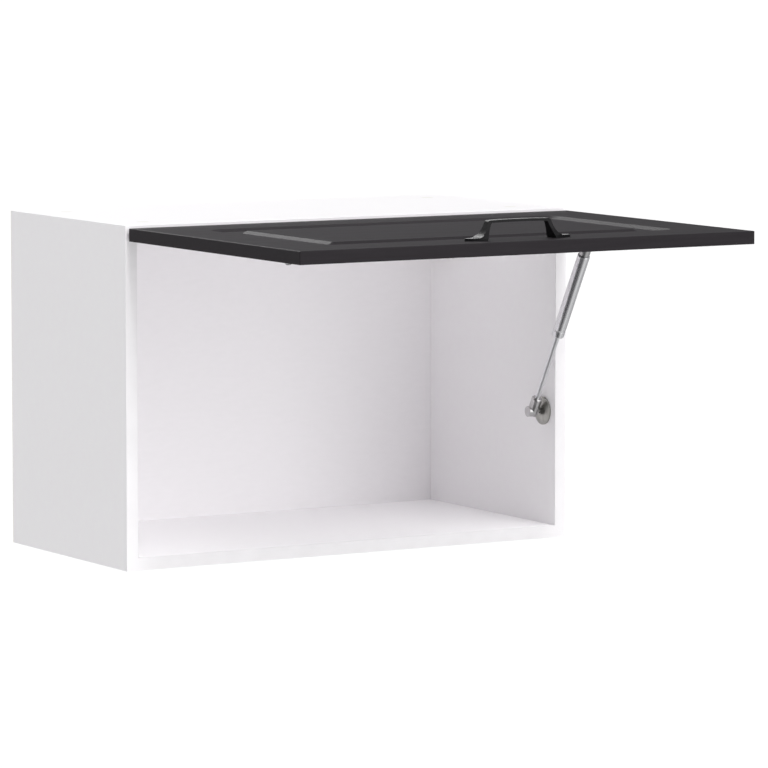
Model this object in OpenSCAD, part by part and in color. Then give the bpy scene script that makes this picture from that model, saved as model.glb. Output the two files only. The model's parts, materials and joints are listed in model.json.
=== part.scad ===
// Kitchen wall cabinet with a lift-up flap door, drawn with the flap open.
// X runs along the width, the front faces -Y and Z is up.
// The origin is on the wall plane, in the middle of the carcass's lower edge.

/* [Carcass] */
// Width of the carcass
cab_w = 600; // [450:10:900]
// Height of the carcass
cab_h = 400; // [360:10:480]
// Depth of the carcass without the flap
carcass_d = 294; // [280:1:350]
// Thickness of the sides, top and bottom
board_t = 15; // [15:1:19]
// Thickness of the edge bands on the front edges
edge_band_t = 0.8; // [0.4:0.1:2]
// Thickness of the back panel
back_t = 3; // [2.5:0.5:4]
// Width of the rebate that the back panel lies in
rebate_w = 8; // [6:0.5:10]

/* [Flap] */
// Thickness of the flap
door_t = 15; // [15:1:19]
// Gap between the closed flap and the carcass front
door_gap = 3; // [2.8:0.1:4]
// How far the flap stands back from each outer side
side_reveal = 2; // [1:0.5:4]
// How far the closed flap stands below the top
top_reveal = 1.5; // [1:0.5:3]
// How far the closed flap stands above the bottom
bottom_reveal = 1.5; // [1:0.5:3]
// Radius on the edges round the flap's outer face
door_round = 1.5; // [0.5:0.5:3]
// Radius of the flap's corners
door_corner = 1.5; // [0.5:0.5:3]

/* [Routed channel] */
// Distance from the flap's edges to the channel
channel_inset = 64; // [56:1:75]
// Width of the channel
channel_w = 35; // [28:1:45]
// Depth of the channel
channel_depth = 3; // [2:0.5:4]
// Width of the channel's outer slope
channel_outer_slope = 8; // [4:0.5:10]
// Width of the slope that rises to the middle field
channel_inner_slope = 5; // [3:0.5:10]
// Corner radius of the channel's outer edge
channel_outer_r = 20; // [12:1:30]
// Corner radius of the middle field
channel_inner_r = 4; // [2:0.5:10]

/* [Handle] */
// Distance between the handle's screws
handle_pitch = 96; // [64:32:192]
// Length of each foot outside its screw
handle_foot = 21; // [18:0.5:26]
// Width of the feet
handle_foot_w = 19; // [16:0.5:24]
// Height of the handle's middle over the flap
handle_h = 23; // [20:1:35]
// Width of the handle's bar
handle_w = 8; // [6:0.5:14]
// Thickness of the handle's bar
handle_bar_t = 3; // [2.5:0.1:6]
// Rise of the bar from its ends to its middle
handle_arch = 1; // [0.5:0.5:4]
// Angle at which the legs lean towards each other
handle_lean = 22; // [10:1:25]
// Distance from the flap's free edge to the handle
handle_edge = 33; // [25:1:45]
// Diameter of the handle's screws
handle_screw_d = 4; // [3.5:0.5:5]

/* [Hinges] */
// Distance from the carcass's side to each hinge
hinge_inset = 100; // [70:5:130]
// Distance from the flap's edge to the pin
pin_edge = 7.4; // [7.2:0.1:8]
// Depth of the pin below the flap's inner face
pin_depth = 8.8; // [8:0.1:9]
// Diameter of the hinge pin
pin_d = 2.4; // [2:0.1:2.6]
// Diameter of the cup
cup_d = 35; // [35:1:40]
// Depth of the cup
cup_depth = 12.5; // [12.2:0.1:13]
// Wood left between the cup and the flap's edge
cup_tab = 3; // [3:0.1:3.2]
// Width of the arm at the pin
arm_w = 12; // [9:0.5:12.5]
// Thickness of the arm's steel
arm_t = 2; // [1.6:0.1:2.2]
// Thickness of the mounting plate
plate_t = 3.2; // [2.8:0.1:5]
// Distance from the carcass front to the plate's screws
plate_setback = 37; // [34:1:45]
// Distance between the two plate screws
plate_pitch = 32; // [28:1:40]

/* [Gas strut] */
// Distance from the lower ball back to the carcass front
low_back = 26.8; // [22:0.2:45]
// Distance from the carcass top down to the lower ball
low_drop = 247.6; // [240:0.2:255]
// Distance from the flap's hinge edge to the upper ball
up_reach = 90.6; // [84:0.2:92]
// Distance from the flap's inner face to the upper ball
up_drop = 17.3; // [15:0.1:20]
// Distance from the carcass side to the strut's middle
strut_off = 15; // [15:0.5:22]
// Diameter of the tube
tube_d = 15; // [12:0.5:15]
// Wall of the tube
tube_wall = 1; // [0.8:0.1:1.5]
// Diameter of the piston rod
rod_d = 6; // [5:0.5:8]
// Diameter of the balls
ball_d = 8; // [7:0.5:9]
// Diameter of the ball sockets
socket_d = 13; // [12:0.5:14]
// Length of the lower socket from its ball
low_socket_len = 20; // [18:0.5:24]
// Length of the upper socket from its ball
up_socket_len = 17.6; // [16:0.1:20]
// Diameter of the round base on the side
base_d = 34; // [30:1:40]
// Height of the base's straight rim
base_rim_h = 2.4; // [2.2:0.1:3]
// Height of the dome over the rim
base_dome_h = 3.6; // [2:0.1:4]

/* [Fittings] */
// Diameter of the cam locks
cam_d = 15; // [12:1:16]
// Distance from the panel's end to the middle of a cam
cam_reach = 34; // [24:1:36]
// Diameter of the wooden dowels
dowel_d = 8; // [6:1:8]
// Length of the wooden dowels
dowel_len = 30; // [25:1:35]
// Distance from the carcass front or back to the nearest cam
cam_inset = 50; // [40:5:70]
// Distance from each cam to its dowel
dowel_step = 32; // [24:1:40]
// Spacing of the nails in the back panel
nail_pitch = 80; // [50:5:120]
// Width of a hanger housing
hanger_w = 18; // [16:1:24]
// Length of a hanger housing
hanger_l = 56; // [50:1:70]
// Height of a hanger housing
hanger_h = 60; // [54:1:70]
// Wall of a hanger housing
hanger_wall = 2; // [1.5:0.5:3]
// Thickness of the hanger's steel hook
hook_t = 2.5; // [2:0.5:4]

/* [Hidden] */
$fn = 48;
// How far a cut runs past the face that it starts from
over = 1;
// Clearance round a pin, a screw or a dowel in its hole
fit = 0.05;
// Clearance between pieces that lie loosely side by side
loose = 0.3;
// Clearance at the bottom of a blind hole
blind_gap = 0.5;
// How far an arc stands past its neighbour, so that the two cross and don't just touch
nick = 0.02;

// Carcass planes
inner_x = cab_w / 2 - board_t;
top_under = cab_h - board_t;
board_mid = board_t / 2;
band_y = -(carcass_d - edge_band_t);
rebate_lo = board_t - rebate_w;

// The flap's pin and faces with the flap open
door_w = cab_w - 2 * side_reveal;
door_l = cab_h - top_reveal - bottom_reveal;
pin_f = door_gap + pin_depth;
pin_y = -(carcass_d + pin_f);
pin_z = cab_h - top_reveal - pin_edge;
door_rear_y = pin_y + pin_edge;
door_under = pin_z - pin_depth;
door_top = door_under + door_t;

// Hinge
hinge_x = cab_w / 2 - hinge_inset;
cup_r = cup_d / 2;
cup_u = cup_tab + cup_r;
cup_floor = 1.2;
cup_slot_w = arm_w + 2 * loose;
cup_wall = 1.9;
flange_t = 1.2;
flange_lip = 0.8;
cup_screw_out = 5;
cup_screw_x = cup_r + cup_screw_out;
cup_screw_step = 9.5;
cup_screw_d = 3.5;
cup_screw_head = 6.6;
cup_screw_len = 10;
cup_ear_r = 6;
knuckle_wall = 1;
knuckle_r = pin_d / 2 + knuckle_wall;
pin_half = 9.8;
arm_clear = 0.5;
arm_top = min(top_under - plate_t, door_under - arm_clear);
arm_low = arm_top - arm_t;
channel_from = 6;
channel_to = 58;
boss_w = 14.8;
arm_wall = 1.3;
arm_outer_w = boss_w + 2 * (loose + arm_wall);
boss_half = 18;
boss_from = plate_setback - boss_half;
boss_to = plate_setback + boss_half;
wing_t = 2.2;
wing_half = 7;
wing_edge = 7;
plate_screw_d = 4;
plate_screw_head = 7.4;
plate_screw_len = 12;
fix_screw_back = 11;
fix_screw_f = plate_setback + fix_screw_back;
set_screw_step = 12;
set_screw_f = plate_setback - set_screw_step;
fix_screw_d = 5;
fix_head_d = 8;
fix_head_h = 2;
fix_screw_in = 2.6;

// Strut points: f is the distance forward of the carcass front
low_f = -low_back;
low_z = cab_h - low_drop;
up_f = pin_f - pin_edge + up_reach;
up_z = door_under - up_drop;
strut_x = inner_x - strut_off;
strut_len = norm([up_f - low_f, up_z - low_z]);
strut_tilt = atan2(up_f - low_f, up_z - low_z);
// The upper ball turns a quarter round the pin as the flap closes
shut_f = pin_f + (up_z - pin_z);
shut_z = pin_z - (up_f - pin_f);
shut_len = norm([shut_f - low_f, shut_z - low_z]);
stroke = strut_len - shut_len;
rod_rest = 2;
tube_lo = low_socket_len + stroke + rod_rest;
tube_hi = strut_len - up_socket_len;
tube_r = tube_d / 2;
tube_bore_r = tube_r - tube_wall;
tube_lip_h = 1.5;
guide_h = 6;
seal_h = 2.5;
piston_gap = 1;
piston_h = 5;
piston_z = tube_lo + tube_lip_h + guide_h + seal_h + piston_gap;
rivet_h = 1;
plug_h = 6;
plug_stud_r = 4;
plug_stud_len = 9;
socket_r = socket_d / 2;
socket_front = 7.5;
socket_back = 3.5;
seat_gap = 0.1;
neck_r = 2.3;
mouth_r = 3.7;
rod_thread_z = 9;
// The fixed stud stops just short of the ball's neck
neck_back = 7.5;
neck_end = strut_off - neck_back;
stud_len = neck_end - loose;
stud_r = 3;
base_plate_t = 2;
base_wall = 0.8;
base_screw_r = 10;
base_screw_d = 3.5;
base_screw_head = 6.4;
base_screw_len = 12;

// Bracket on the flap
tab_step = 8;
tab_x = strut_x + tab_step;
tab_t = 2;
tab_r = 7;
bracket_w = 30;
bracket_l = 34;
bracket_t = 2;
bracket_screw_in = 8;
bracket_screw_step = 10;
bracket_screw_d = 4;
bracket_screw_head = 7.4;
bracket_screw_len = 12;
rivet_r = 3.6;
rivet_t = 1.3;
bumper_r = 4;
bumper_in = 35;
bumper_dome = 6;

// Carcass fittings
cam_h = 12;
cam_pocket = 3.6;
cam_slot = 2.4;
cam_cross_l = 8;
cam_cross_w = 1.6;
cam_cross_h = 2;
cam_cover_t = 1;
bolt_thread_r = 2.5;
bolt_in = 11;
bolt_r = 3.5;
bolt_bore_r = 4;
bolt_neck_r = 2;
bolt_head_r = 3.2;
bolt_head_len = 3.5;
dowel_in = 10;
cam_spots = [-cam_inset, -(carcass_d - cam_inset)];
dowel_spots = [-(cam_inset + dowel_step), -(carcass_d - cam_inset - dowel_step)];
nail_r = 0.8;
nail_len = 16;
nail_head_r = 1.8;
nail_head_h = 0.8;
nail_end = 40;
nails_up = floor((cab_h - 2 * nail_end) / nail_pitch);
nails_along = floor((cab_w - 2 * nail_end) / nail_pitch);

// Hangers, measured from the wall plane and from the housing's top
hanger_top = top_under - blind_gap;
hanger_rear = back_t + loose;
hanger_round = 3;
peg_r = 5;
peg_len = 10;
peg_step = 16;
hook_top = 8;
hook_low = 24;
claw_low = 36;
claw_rear = 0.5;
claw_front = 4;
hook_front = 44;
hook_block_l = 6;
hook_block_w = 9;
adjust_r = 2.5;
adjust_head_r = 4;
adjust_head_h = 2;
adjust_upper = 16;
adjust_lower = 40;
cutout_w = 14;
cutout_top = 4;
cutout_low = 42;

// Handle
handle_leg = 4.7;
handle_leg_in = 3;
handle_corner = 4;
handle_knee = 3;
handle_round = 1.2;
handle_foot_t = 3;
handle_sweep = 14;
handle_leaf_back = 8;
handle_point = 1;
handle_screw_in = 4.4;
handle_head_r = 4;
handle_head_h = 2.5;

// Box between two opposite corners
module block(lo, hi) {
    translate(lo) cube(hi - lo);
}

// Round bar along X
module rod_x(x0, x1, r) {
    translate([x0, 0, 0]) rotate([0, 90, 0]) cylinder(h = x1 - x0, r = r);
}

// Round bar along Y
module rod_y(y0, y1, r) {
    translate([0, y0, 0]) rotate([-90, 0, 0]) cylinder(h = y1 - y0, r = r);
}

// Round bar along Z
module rod_z(z0, z1, r) {
    translate([0, 0, z0]) cylinder(h = z1 - z0, r = r);
}

// The same thing on the right and on the left
module on_both_sides() {
    children();
    mirror([1, 0, 0]) children();
}

// Rectangle centred on the origin with round corners
module round_rect(w, l, r) {
    square([w - 2 * r, l], center = true);
    square([w, l - 2 * r], center = true);
    for (x = [-1, 1], y = [-1, 1]) translate([x * (w / 2 - r), y * (l / 2 - r)]) circle(r = r);
}

// Countersunk screw, its head at the origin and its point down -Z
module countersunk(d, head_d, len) {
    head_h = (head_d - d) / 2;
    tip_h = d;
    difference() {
        union() {
            translate([0, 0, -head_h]) cylinder(h = head_h, r1 = d / 2, r2 = head_d / 2);
            rod_z(-(len - tip_h), -head_h, d / 2);
            translate([0, 0, -len]) cylinder(h = tip_h, r1 = 0.4, r2 = d / 2);
        }
        cross_recess(head_d * 0.5, 1);
    }
}

// Hole for that screw
module countersunk_hole(d, head_d, len) {
    head_h = (head_d - d) / 2;
    translate([0, 0, -head_h]) cylinder(h = head_h, r1 = d / 2 + fit, r2 = head_d / 2 + fit);
    rod_z(-(len + blind_gap), -head_h, d / 2 + fit);
    rod_z(0, over, head_d / 2 + fit);
}

// Cross recess cut into the top of a screw's head
module cross_recess(w, h) {
    for (turn = [0, 90]) rotate([0, 0, turn]) block([-w / 2, -w / 8, -h], [w / 2, w / 8, over]);
}

// Corner joints: the children are drawn at the lower right joint
module at_joints(spots) {
    for (side = [0, 1]) mirror([side, 0, 0])
        for (up = [0, 1]) translate([0, 0, up * cab_h]) mirror([0, 0, up])
            for (y = spots) translate([inner_x, y, board_mid]) children();
}

// Nails round the back panel
module at_nails() {
    for (side = [-1, 1], i = [0 : nails_up])
        translate([side * (inner_x + rebate_w / 2), 0, cab_h / 2 + (i - nails_up / 2) * nail_pitch])
            children();
    for (up = [0, 1], i = [0 : nails_along])
        translate([(i - nails_along / 2) * nail_pitch, 0, up == 0 ? board_t - rebate_w / 2
            : cab_h - board_t + rebate_w / 2]) children();
}

module nail_holes() {
    at_nails() rod_y(-(nail_len + blind_gap), over, nail_r + fit);
}

// Holes that the cam fittings and dowels need in a board
module joint_holes() {
    at_joints(cam_spots) {
        rod_x(-cam_reach, 0, bolt_bore_r);
        rod_x(-over, bolt_in + blind_gap, bolt_thread_r + fit);
        translate([-cam_reach, 0, 0]) rod_z(-board_mid - over, cam_h + loose - board_mid, cam_d / 2);
    }
    at_joints(dowel_spots)
        rod_x(-(dowel_len - dowel_in + blind_gap), dowel_in + blind_gap, dowel_d / 2 + fit);
}

// Side boards
module side_board() {
    difference() {
        block([inner_x, band_y, 0], [cab_w / 2, 0, cab_h]);
        block([inner_x - over, -back_t, rebate_lo], [inner_x + rebate_w, over, cab_h - rebate_lo]);
        joint_holes();
        nail_holes();
        at_pegs() rod_x(-over, peg_len + blind_gap, peg_r + fit);
    }
}

module side_panel_left() {
    color("whitesmoke") mirror([1, 0, 0]) side_board();
}

module side_panel_right() {
    color("whitesmoke") difference() {
        side_board();
        at_base_screws() countersunk_hole(base_screw_d, base_screw_head, base_screw_len);
    }
}

// Bottom board with its rebate, and the top board above it
module level_board() {
    difference() {
        block([-inner_x, band_y, 0], [inner_x, 0, board_t]);
        block([-inner_x - over, -back_t, rebate_lo], [inner_x + over, over, board_t + over]);
    }
}

module bottom_panel() {
    color("whitesmoke") difference() {
        level_board();
        joint_holes();
        nail_holes();
    }
}

module top_panel() {
    color("whitesmoke") difference() {
        translate([0, 0, cab_h]) mirror([0, 0, 1]) level_board();
        joint_holes();
        nail_holes();
        on_both_sides() at_plate_screws()
            countersunk_hole(plate_screw_d, plate_screw_head, plate_screw_len);
    }
}

module front_edge_bands() {
    color("white") {
        on_both_sides() block([inner_x, -carcass_d, 0], [cab_w / 2, band_y, cab_h]);
        for (z = [0, top_under])
            block([-inner_x, -carcass_d, z], [inner_x, band_y, z + board_t]);
    }
}

// Back panel, nailed into the rebate
module back_panel() {
    half_w = inner_x + rebate_w - loose;
    color("gainsboro") difference() {
        block([-half_w, -back_t, rebate_lo + loose], [half_w, 0, cab_h - rebate_lo - loose]);
        nail_holes();
        at_nails() rod_y(-nail_head_h, over, nail_head_r + fit);
        on_both_sides() translate([inner_x, 0, hanger_top])
            block([-cutout_w, -back_t - over, -cutout_low], [0, over, -cutout_top]);
    }
}

module back_panel_nails() {
    color("darkgray") at_nails() {
        rod_y(-nail_head_h, 0, nail_head_r);
        rod_y(-nail_len, -nail_head_h, nail_r);
    }
}

// Cam fittings and dowels
module cam_locks() {
    color("silver") at_joints(cam_spots) translate([-cam_reach, 0, 0]) difference() {
        rod_z(cam_cover_t - board_mid, cam_h - board_mid, cam_d / 2 - fit);
        block([-cam_pocket, -cam_pocket, -cam_pocket], [cam_pocket, cam_pocket, cam_pocket]);
        block([0, -cam_slot, -cam_slot], [cam_d, cam_slot, cam_slot]);
        cam_cross(cam_cross_l, cam_cross_w, cam_cross_h, over);
    }
}

// Cross in the outer end of a cam
module cam_cross(l, w, deep, out) {
    translate([0, 0, cam_cover_t - board_mid]) mirror([0, 0, 1]) for (turn = [0, 90])
        rotate([0, 0, turn]) block([-l / 2, -w / 2, -deep], [l / 2, w / 2, out]);
}

// Caps that close the cam holes, each held by its cross
module cam_covers() {
    color("white") at_joints(cam_spots) translate([-cam_reach, 0, 0]) {
        rod_z(-board_mid, cam_cover_t - board_mid, cam_d / 2 - fit);
        cam_cross(cam_cross_l - 2 * fit, cam_cross_w - 2 * fit, cam_cross_h / 2, cam_cover_t / 2);
    }
}

module cam_bolts() {
    neck_from = -(cam_reach - cam_d / 2 - 2 * over);
    head_from = -(cam_reach - 2);
    color("silver") at_joints(cam_spots) {
        rod_x(0, bolt_in, bolt_thread_r);
        rod_x(neck_from, 0, bolt_r);
        rod_x(head_from, neck_from, bolt_neck_r);
        rod_x(head_from - bolt_head_len, head_from, bolt_head_r);
    }
}

module panel_dowels() {
    color("burlywood") at_joints(dowel_spots)
        rod_x(-(dowel_len - dowel_in), dowel_in, dowel_d / 2);
}

// Adjustable hangers in the upper rear corners, drawn on the right
module at_pegs() {
    for (step = [-1, 1])
        translate([inner_x, -(hanger_rear + hanger_l / 2), hanger_top - hanger_h / 2 + step * peg_step])
            children();
}

// The hanger's own frame: the origin is on the wall plane at the housing's top
module at_hanger() {
    translate([inner_x, 0, hanger_top]) children();
}

module at_adjusters(from_wall) {
    for (drop = [adjust_upper, adjust_lower])
        translate([-(hanger_wall + hook_t + hook_block_w / 2), -from_wall, -drop]) children();
}

module hanger_housing() {
    front = hanger_rear + hanger_l;
    difference() {
        union() {
            at_hanger() translate([-hanger_w / 2, -hanger_rear, -hanger_h / 2]) rotate([90, 0, 0])
                linear_extrude(hanger_l) round_rect(hanger_w, hanger_h, hanger_round);
            at_pegs() rod_x(-hanger_wall, peg_len, peg_r);
        }
        at_hanger() {
            block([hanger_wall - hanger_w, hanger_wall - front, hanger_wall - hanger_h],
                [-hanger_wall, over, -hanger_wall]);
            at_adjusters(front) rod_y(-over, hanger_wall + over, adjust_r + fit);
        }
    }
}

module hanger_hook() {
    block_y = hook_front - hook_block_l;
    at_hanger() difference() {
        union() {
            translate([-hanger_wall - hook_t, 0, 0]) rotate([0, 0, 90]) rotate([90, 0, 0])
                linear_extrude(hook_t) polygon([
                    [-hook_front, -hook_top], [-claw_rear, -hook_top], [-claw_rear, -claw_low],
                    [-claw_front, -claw_low], [-claw_front - 2, -hook_low - 2],
                    [-claw_front - 8, -hook_low], [-block_y, -hook_low],
                    [-block_y, -adjust_lower - hook_block_l], [-hook_front, -adjust_lower - hook_block_l]
                ]);
            at_adjusters(hook_front) block([-hook_block_w / 2, 0, -hook_block_l],
                [hook_block_w / 2, hook_block_l, hook_block_l]);
        }
        at_adjusters(hook_front) rod_y(-over, hook_block_l + over, adjust_r + fit);
    }
}

module hanger_housing_left() {
    color("white") mirror([1, 0, 0]) hanger_housing();
}

module hanger_housing_right() {
    color("white") hanger_housing();
}

module hanger_hook_left() {
    color("silver") mirror([1, 0, 0]) hanger_hook();
}

module hanger_hook_right() {
    color("silver") hanger_hook();
}

module hanger_screws() {
    reach = hanger_rear + hanger_l - hook_front + hook_block_l + 2;
    color("silver") on_both_sides() at_hanger() at_adjusters(hanger_rear + hanger_l) difference() {
        union() {
            rod_y(0, reach, adjust_r);
            rod_y(-adjust_head_h, 0, adjust_head_r);
        }
        translate([0, -adjust_head_h, 0]) rotate([90, 0, 0]) cross_recess(adjust_head_r * 1.2, 1);
    }
}

// Concealed hinges: the children are drawn at the pin, across the carcass front
module at_hinge(side) {
    translate([side * hinge_x, 0, 0]) children();
}

module at_plate_screws() {
    for (side = [-1, 1])
        translate([hinge_x + side * plate_pitch / 2, -(carcass_d - plate_setback), top_under - wing_t])
            mirror([0, 0, 1]) children();
}

// Mounting plate under the top panel
module hinge_plate() {
    wing_x = plate_pitch / 2 + wing_edge;
    difference() {
        union() {
            block([-boss_w / 2, -(carcass_d - boss_from), arm_top],
                [boss_w / 2, -(carcass_d - boss_to), top_under]);
            translate([0, -(carcass_d - plate_setback), top_under - wing_t])
                linear_extrude(wing_t) round_rect(2 * wing_x, 2 * wing_half, 3);
        }
        translate([0, -(carcass_d - fix_screw_f), 0])
            rod_z(arm_top - over, arm_top + fix_screw_in, fix_screw_d / 2 + fit);
        translate([-hinge_x, 0, 0]) at_plate_screws()
            countersunk_hole(plate_screw_d, plate_screw_head, plate_screw_len);
    }
}

// Cranked arm: a strip at the pin and a channel under the plate
module hinge_arm() {
    crank = arm_t;
    front_f = pin_f + arm_t / 2;
    difference() {
        union() {
            translate([0, pin_y, pin_z]) rod_x(-arm_w / 2, arm_w / 2, knuckle_r);
            block([-arm_w / 2, pin_y - arm_t / 2, arm_low + crank],
                [arm_w / 2, pin_y + arm_t / 2, pin_z]);
            block([-arm_w / 2, -(carcass_d + front_f - crank), arm_low],
                [arm_w / 2, -(carcass_d - channel_from) + over, arm_top]);
            intersection() {
                translate([0, -(carcass_d + front_f - crank), arm_low + crank])
                    rod_x(-arm_w / 2, arm_w / 2, crank);
                block([-arm_w, -(carcass_d + front_f), arm_low],
                    [arm_w, -(carcass_d + front_f - crank), arm_low + crank]);
            }
            block([-arm_outer_w / 2, -(carcass_d - channel_from), arm_low],
                [arm_outer_w / 2, -(carcass_d - channel_to), top_under - loose]);
        }
        translate([0, pin_y, pin_z]) rod_x(-arm_w, arm_w, pin_d / 2 + fit);
        block([-boss_w / 2 - loose, -(carcass_d - channel_from) - over, arm_top],
            [boss_w / 2 + loose, -(carcass_d - channel_to) + over, top_under]);
        block([-arm_outer_w, -(carcass_d - plate_setback) - wing_half - loose,
            top_under - wing_t - loose],
            [arm_outer_w, -(carcass_d - plate_setback) + wing_half + loose, top_under]);
        translate([0, -(carcass_d - fix_screw_f), 0]) {
            rod_z(arm_low - over, arm_top + over, fix_screw_d / 2 + loose);
            block([-fix_screw_d / 2 - loose, 0, arm_low - over],
                [fix_screw_d / 2 + loose, channel_to, arm_top + over]);
        }
        translate([0, -(carcass_d - set_screw_f), 0])
            rod_z(arm_low - over, arm_top + over, fix_screw_d / 2 + fit);
    }
}

module hinge_plate_left() {
    color("silver") at_hinge(-1) hinge_plate();
}

module hinge_plate_right() {
    color("silver") at_hinge(1) hinge_plate();
}

module hinge_arm_left() {
    color("silver") at_hinge(-1) hinge_arm();
}

module hinge_arm_right() {
    color("silver") at_hinge(1) hinge_arm();
}

module hinge_plate_screws() {
    color("silver") on_both_sides() at_plate_screws()
        countersunk(plate_screw_d, plate_screw_head, plate_screw_len);
}

module hinge_adjust_screws() {
    color("silver") on_both_sides() at_hinge(1) {
        translate([0, -(carcass_d - fix_screw_f), arm_low]) difference() {
            union() {
                rod_z(0, arm_t + fix_screw_in - blind_gap, fix_screw_d / 2);
                rod_z(-fix_head_h, 0, fix_head_d / 2);
            }
            translate([0, 0, -fix_head_h]) mirror([0, 0, 1]) cross_recess(fix_screw_d, 1);
        }
        translate([0, -(carcass_d - set_screw_f), arm_low]) difference() {
            rod_z(-fix_head_h / 2, arm_t, fix_screw_d / 2);
            translate([0, 0, -fix_head_h / 2]) mirror([0, 0, 1]) cross_recess(fix_screw_d * 0.7, 1);
        }
    }
}

// Frame of the open flap: the origin is on its outer face at the hinge edge
module on_flap() {
    translate([0, door_rear_y, door_top]) children();
}

// A spot on the flap's inner face, looking into the flap
module on_flap_inside(x, reach) {
    on_flap() translate([x, -reach, -door_t]) children();
}

// Block with sloping sides and round corners, its larger or smaller face up
module sloped_field(w, l, r_top, r_low, depth) {
    half_w = w / 2 - r_top;
    half_l = l / 2 - r_top;
    for (x = [-1, 1], y = [-1, 1]) translate([x * half_w, y * half_l, -depth])
        cylinder(h = depth, r1 = r_low, r2 = r_top);
    translate([0, half_l, 0]) rotate([90, 0, 0]) linear_extrude(2 * half_l)
        polygon([[-half_w - r_top, 0], [half_w + r_top, 0], [half_w + r_low, -depth],
            [-half_w - r_low, -depth]]);
    translate([-half_w, 0, 0]) rotate([0, 0, 90]) rotate([90, 0, 0]) linear_extrude(2 * half_w)
        polygon([[-half_l - r_top, 0], [half_l + r_top, 0], [half_l + r_low, -depth],
            [-half_l - r_low, -depth]]);
}

// Routed channel round the flap's outer face
module routed_channel() {
    field = channel_inset + channel_w;
    translate([0, -door_l / 2, 0]) difference() {
        sloped_field(door_w - 2 * channel_inset, door_l - 2 * channel_inset, channel_outer_r,
            channel_outer_r - channel_outer_slope, channel_depth);
        sloped_field(door_w - 2 * field, door_l - 2 * field, channel_inner_r,
            channel_inner_r + channel_inner_slope, channel_depth);
    }
}

// Section across the flap, rounded at its outer face
module flap_section(w) {
    translate([-w / 2, -door_t]) square([w, door_t - door_round]);
    translate([-w / 2 + door_round, -door_t]) square([w - 2 * door_round, door_t]);
    for (x = [-1, 1]) translate([x * (w / 2 - door_round), -door_round]) circle(r = door_round);
}

module flap_blank() {
    intersection() {
        translate([0, -door_l / 2, -door_t]) linear_extrude(door_t)
            round_rect(door_w, door_l, door_corner);
        rotate([90, 0, 0]) linear_extrude(door_l) flap_section(door_w);
        translate([-door_w / 2, -door_l / 2, 0]) rotate([0, 0, 90]) rotate([90, 0, 0])
            linear_extrude(door_w) flap_section(door_l);
    }
}

module flap_panel() {
    color("dimgray") difference() {
        on_flap() flap_blank();
        on_flap() routed_channel();
        on_both_sides() on_flap_inside(hinge_x, cup_u) rod_z(-over, cup_depth + blind_gap / 2, cup_r);
        at_cup_screws() countersunk_hole(cup_screw_d, cup_screw_head, cup_screw_len);
        at_bracket_screws()
            countersunk_hole(bracket_screw_d, bracket_screw_head, bracket_screw_len);
        at_handle_screws() rod_z(-over, door_t + over, handle_screw_d / 2 + loose);
    }
}

// Cup screws, driven from the flange up into the flap
module at_cup_screws() {
    on_both_sides() for (side = [-1, 1])
        on_flap_inside(hinge_x + side * cup_screw_x, cup_u + cup_screw_step)
            translate([0, 0, -flange_t]) mirror([0, 0, 1]) children();
}

module hinge_cup(side) {
    arm_side = cup_r + 3;
    color("silver") difference() {
        on_flap_inside(side * hinge_x, cup_u) difference() {
            union() {
                rod_z(-flange_t, cup_depth, cup_r - fit);
                translate([0, 0, -flange_t]) linear_extrude(flange_t) {
                    circle(r = cup_r + flange_lip);
                    for (x = [-1, 1]) translate([x * cup_screw_x, -cup_screw_step])
                        circle(r = cup_ear_r);
                    translate([-cup_screw_x, -cup_screw_step - cup_ear_r])
                        square([2 * cup_screw_x, 2 * cup_ear_r]);
                }
            }
            block([-cup_slot_w / 2, -(cup_r - cup_wall), -flange_t - over],
                [cup_slot_w / 2, cup_r - cup_wall, cup_depth - cup_floor]);
            block([-cup_slot_w / 2, 0, -flange_t - over], [cup_slot_w / 2, arm_side, 0]);
            translate([0, cup_u - pin_edge, pin_depth]) rod_x(-pin_half - loose, pin_half + loose,
                pin_d / 2 + fit);
        }
        at_cup_screws() countersunk_hole(cup_screw_d, cup_screw_head, cup_screw_len);
    }
}

module hinge_cup_left() {
    hinge_cup(-1);
}

module hinge_cup_right() {
    hinge_cup(1);
}

module hinge_cup_screws() {
    color("silver") at_cup_screws() countersunk(cup_screw_d, cup_screw_head, cup_screw_len);
}

module hinge_pins() {
    color("gray") on_both_sides() at_hinge(1) translate([0, pin_y, pin_z])
        rod_x(-pin_half, pin_half, pin_d / 2);
}

// Soft pads that the closed flap rests on
module door_bumpers() {
    color("lightgray") on_both_sides()
        on_flap_inside(cab_w / 2 - board_mid, door_l - bumper_in) intersection() {
            rod_z(-(door_gap - loose), 0, bumper_r);
            translate([0, 0, bumper_dome - door_gap + loose]) sphere(r = bumper_dome);
        }
}

// Bow handle near the flap's free edge
module at_handle() {
    on_flap() translate([0, -(door_l - handle_edge), 0]) children();
}

module at_handle_screws() {
    at_handle() for (side = [-1, 1]) translate([side * handle_pitch / 2, 0, -door_t]) children();
}

// Radius of an arc from its half chord and its rise
function arc_r(half, rise) = (half * half + rise * rise) / (2 * rise);

// Trapezoid with leaning sides and round upper corners, its top along the bar's arch
module bow(base, top, corner_r) {
    arch_r = arc_r(handle_pitch / 2, handle_arch);
    arch_z = top - arch_r;
    corner_x = base - (top - corner_r) * tan(handle_lean) - corner_r / cos(handle_lean);
    corner_z = arch_z + sqrt(pow(arch_r, 2) - pow(corner_x, 2)) - corner_r + nick;
    side_x = corner_x + (corner_r - nick) * cos(handle_lean);
    side_z = corner_z + (corner_r - nick) * sin(handle_lean);
    polygon([[-base - over * tan(handle_lean), -over], [base + over * tan(handle_lean), -over],
        [side_x, side_z], [-side_x, side_z]]);
    intersection() {
        translate([0, arch_z]) circle(r = arch_r, $fn = 200);
        translate([-corner_x, 0]) square([2 * corner_x, top + over]);
    }
    for (side = [-1, 1]) translate([side * corner_x, corner_z]) circle(r = corner_r);
}

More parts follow.
